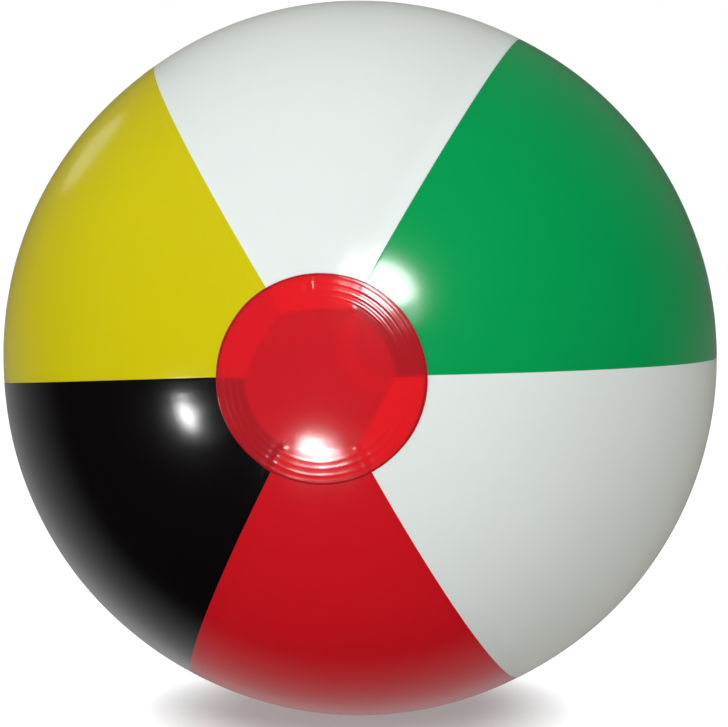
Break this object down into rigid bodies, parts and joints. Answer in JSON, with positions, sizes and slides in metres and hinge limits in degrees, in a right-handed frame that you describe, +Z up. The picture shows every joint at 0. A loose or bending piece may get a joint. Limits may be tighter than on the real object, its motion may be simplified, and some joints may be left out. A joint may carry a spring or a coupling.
{
  "type": "inflatable beach ball",
  "caption": "Inflated beach ball of coloured vinyl gores with round see-through end patches and a push-in valve with a tethered plug.",
  "frame": {"origin": "centre of the inflated ball", "axes": "+Y along the polar axis, from the plain end patch to the end patch with the valve; +Z up, across the white gore; +X to the right, along the seam between the lower white gore and the green one"},
  "size_m": [0.3, 0.3028, 0.3],
  "materials": {
    "green_vinyl": "glossy soft vinyl film",
    "white_vinyl": "glossy soft vinyl film",
    "yellow_vinyl": "glossy soft vinyl film",
    "black_vinyl": "glossy soft vinyl film",
    "red_vinyl": "glossy soft vinyl film",
    "clear_red_vinyl": "glossy see-through red vinyl film",
    "valve_vinyl": "satin translucent soft vinyl, moulded"
  },
  "bodies": {
    "ball": {"panel_green": "green_vinyl", "panel_white_top": "white_vinyl", "panel_yellow": "yellow_vinyl", "panel_black": "black_vinyl", "panel_red": "red_vinyl", "panel_white_side": "white_vinyl", "cap_front": "clear_red_vinyl", "cap_rear": "clear_red_vinyl", "valve_base": "valve_vinyl", "valve_skirt": "valve_vinyl"},
    "stem": {"valve_stem": "valve_vinyl", "plug_strap": "valve_vinyl"},
    "plug": {"valve_plug": "valve_vinyl"},
    "flap": {"check_flap": "valve_vinyl"}
  },
  "joints": [
    {"name": "stem_pop", "type": "slide", "parent": "ball", "child": "stem", "axis": [0, 1, 0], "range_m": [0, 0.014], "deforming": ["valve_skirt"]},
    {"name": "plug_swing", "type": "hinge", "parent": "stem", "child": "plug", "pos_m": [0.0085, 0.15085, 0], "axis": [0, 0, -1], "range_deg": [0, 150], "deforming": ["plug_strap"]},
    {"name": "flap_swing", "type": "hinge", "parent": "stem", "child": "flap", "pos_m": [-0.0044, 0.14015, 0], "axis": [0, 0, -1], "range_deg": [0, 55], "stiffness_Nm_per_rad": 0.00002}
  ]
}
